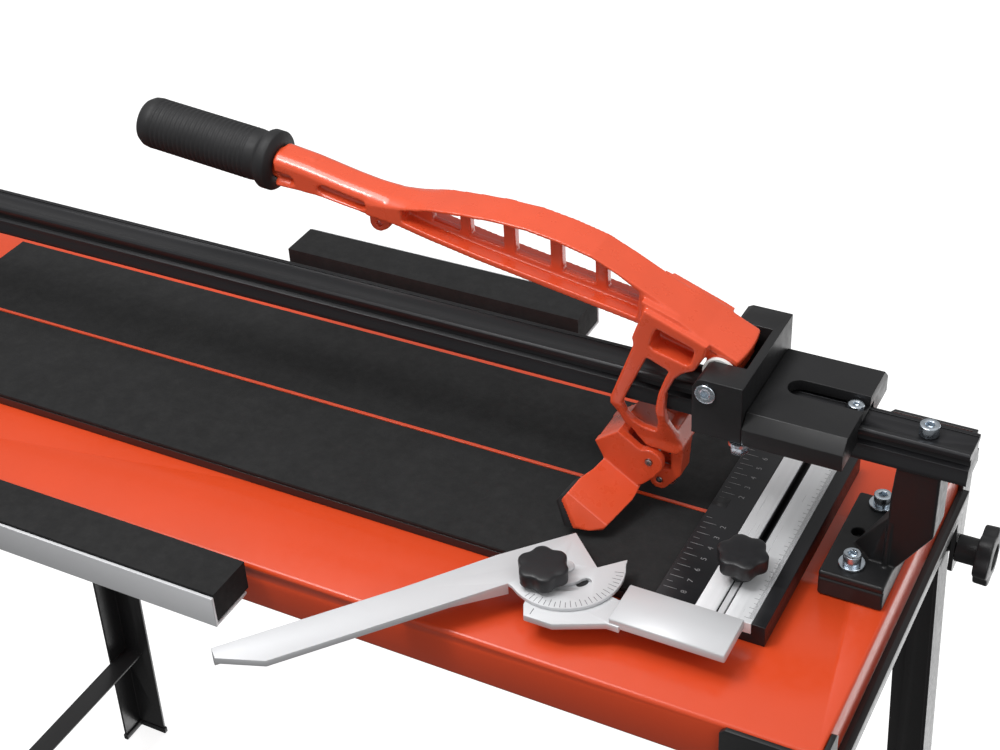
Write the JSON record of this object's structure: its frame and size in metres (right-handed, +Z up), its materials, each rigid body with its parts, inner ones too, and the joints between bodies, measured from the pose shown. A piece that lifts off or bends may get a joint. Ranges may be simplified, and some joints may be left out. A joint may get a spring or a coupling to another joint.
{
  "type": "tile cutter",
  "caption": "Manual rail tile cutter on a folding stand: scoring carriage with a long lever and breaker foot, padded table, ruler with swivelling fence and pull-out side supports.",
  "frame": {"origin": "centre of the bounding box's underside, on the floor", "axes": "+X along the cutting rail towards the ruler, +Y across it away from the user, +Z up"},
  "size_m": [1.037, 0.5288, 1.0385],
  "materials": {
    "aluminium": "mill-finish extrusion",
    "black_anodised": "black anodised extrusion",
    "black_enamel": "satin enamel",
    "cast_black": "cast aluminium, satin enamel",
    "cast_grey": "aluminium, pale grey satin coat",
    "cast_red": "cast aluminium, gloss powder coat",
    "foam": "dense foam",
    "nylon": "natural nylon",
    "plastic": "fine-grained moulding",
    "red_enamel": "gloss powder coat",
    "rubber": "soft moulded",
    "steel": "ground steel",
    "zinc": "bright zinc plate"
  },
  "bodies": {
    "base": {"base_tray": "red_enamel", "breaking_ridge": "red_enamel", "front_table_pad": "foam", "front_table_plate": "black_enamel", "guide_rail": "black_anodised", "hinge_bolt_left_front": "zinc", "hinge_bolt_left_rear": "zinc", "hinge_bolt_right_front": "zinc", "hinge_bolt_right_rear": "zinc", "left_end_bracket": "black_enamel", "left_support": "cast_black", "rail_stop_bolt_left": "zinc", "rail_stop_bolt_right": "zinc", "rear_table_pad": "foam", "rear_table_plate": "black_enamel", "right_end_bracket": "black_enamel", "right_support": "cast_black", "ruler_base": "black_anodised", "ruler_rail": "aluminium", "support_screw_left_front": "zinc", "support_screw_left_rear": "zinc", "support_screw_right_front": "zinc", "support_screw_right_rear": "zinc"},
    "carriage": {"carriage_body": "cast_black", "clevis_block": "cast_black", "pivot_bush": "nylon", "pivot_screw": "zinc"},
    "lever": {"foot_pin": "steel", "grip": "rubber", "lever_casting": "cast_red", "wheel_axle": "steel"},
    "wheel": {"scoring_wheel": "steel"},
    "foot": {"breaker_foot": "cast_red", "foot_sole_front": "rubber", "foot_sole_rear": "rubber"},
    "fence_slider": {"fence_pivot_pin": "cast_grey", "fence_slider_block": "cast_grey"},
    "fence": {"fence_bar": "cast_grey"},
    "fence_knob": {"fence_knob": "plastic"},
    "ruler_knob": {"ruler_knob": "plastic"},
    "front_arm": {"front_arm_bar": "foam", "front_arm_guide_rod": "zinc", "front_arm_trim": "cast_grey"},
    "rear_arm": {"rear_arm_bar": "foam", "rear_arm_guide_rod": "zinc", "rear_arm_trim": "cast_grey"},
    "roller_front_inner": {"guide_roller_front_inner": "steel"},
    "roller_front_outer": {"guide_roller_front_outer": "steel"},
    "roller_rear_inner": {"guide_roller_rear_inner": "steel"},
    "roller_rear_outer": {"guide_roller_rear_outer": "steel"},
    "right_stand": {"foot_cap_right_front": "plastic", "foot_cap_right_rear": "plastic", "right_leg_frame": "black_enamel"},
    "lock_knob_right_front": {"lock_knob_right_front": "plastic"},
    "lock_knob_right_rear": {"lock_knob_right_rear": "plastic"},
    "left_stand": {"foot_cap_left_front": "plastic", "foot_cap_left_rear": "plastic", "left_leg_frame": "black_enamel"},
    "lock_knob_left_front": {"lock_knob_left_front": "plastic"},
    "lock_knob_left_rear": {"lock_knob_left_rear": "plastic"}
  },
  "joints": [
    {"name": "carriage_slide", "type": "slide", "parent": "base", "child": "carriage", "axis": [1, 0, 0], "range_m": [-0.65, 0.025]},
    {"name": "lever_pivot", "type": "hinge", "parent": "carriage", "child": "lever", "pos_m": [0.3458, 0.03007, 0.9333], "axis": [0, 1, 0], "range_deg": [-4, 10]},
    {"name": "wheel_spin", "type": "hinge", "parent": "lever", "child": "wheel", "pos_m": [0.2954, 0.03007, 0.811], "axis": [0, 1, 0], "continuous": true},
    {"name": "foot_swivel", "type": "hinge", "parent": "lever", "child": "foot", "pos_m": [0.2914, 0.03007, 0.8338], "axis": [0, -1, 0], "range_deg": [0, 9]},
    {"name": "fence_slide", "type": "slide", "parent": "base", "child": "fence_slider", "axis": [0, -1, 0], "range_m": [0, 0.03]},
    {"name": "fence_angle", "type": "hinge", "parent": "fence_slider", "child": "fence", "pos_m": [0.269, -0.08393, 0.798], "axis": [0, 0, 1], "range_deg": [-50, 25]},
    {"name": "fence_knob_turn", "type": "hinge", "parent": "fence_slider", "child": "fence_knob", "pos_m": [0.2604, -0.10253, 0.801], "axis": [0, 0, 1], "range_deg": [0, 180]},
    {"name": "ruler_knob_turn", "type": "hinge", "parent": "fence_slider", "child": "ruler_knob", "pos_m": [0.38185, -0.03193, 0.803], "axis": [0, 0, 1], "range_deg": [0, 180]},
    {"name": "front_arm_slide", "type": "slide", "parent": "base", "child": "front_arm", "axis": [0, -1, 0], "range_m": [0, 0.11]},
    {"name": "rear_arm_slide", "type": "slide", "parent": "base", "child": "rear_arm", "axis": [0, 1, 0], "range_m": [0, 0.11]},
    {"name": "roller_front_inner_spin", "type": "hinge", "parent": "carriage", "child": "roller_front_inner", "pos_m": [0.3864, 0.01217, 0.901], "axis": [0, 0, 1], "continuous": true},
    {"name": "roller_front_outer_spin", "type": "hinge", "parent": "carriage", "child": "roller_front_outer", "pos_m": [0.4294, 0.01217, 0.901], "axis": [0, 0, 1], "continuous": true},
    {"name": "roller_rear_inner_spin", "type": "hinge", "parent": "carriage", "child": "roller_rear_inner", "pos_m": [0.3864, 0.04797, 0.901], "axis": [0, 0, 1], "continuous": true},
    {"name": "roller_rear_outer_spin", "type": "hinge", "parent": "carriage", "child": "roller_rear_outer", "pos_m": [0.4294, 0.04797, 0.901], "axis": [0, 0, 1], "continuous": true},
    {"name": "right_stand_fold", "type": "hinge", "parent": "base", "child": "right_stand", "pos_m": [0.4534, 0.03007, 0.711], "axis": [0, 1, 0], "range_deg": [0, 91]},
    {"name": "lock_knob_right_front_turn", "type": "hinge", "parent": "base", "child": "lock_knob_right_front", "pos_m": [0.4862, -0.13593, 0.672], "axis": [1, 0, 0], "range_deg": [0, 180]},
    {"name": "lock_knob_right_rear_turn", "type": "hinge", "parent": "base", "child": "lock_knob_right_rear", "pos_m": [0.4862, 0.19607, 0.672], "axis": [1, 0, 0], "range_deg": [0, 180]},
    {"name": "left_stand_fold", "type": "hinge", "parent": "base", "child": "left_stand", "pos_m": [-0.4534, 0.03007, 0.662], "axis": [0, -1, 0], "range_deg": [0, 86]},
    {"name": "lock_knob_left_front_turn", "type": "hinge", "parent": "base", "child": "lock_knob_left_front", "pos_m": [-0.4862, -0.13593, 0.623], "axis": [-1, 0, 0], "range_deg": [0, 180]},
    {"name": "lock_knob_left_rear_turn", "type": "hinge", "parent": "base", "child": "lock_knob_left_rear", "pos_m": [-0.4862, 0.19607, 0.623], "axis": [-1, 0, 0], "range_deg": [0, 180]}
  ]
}
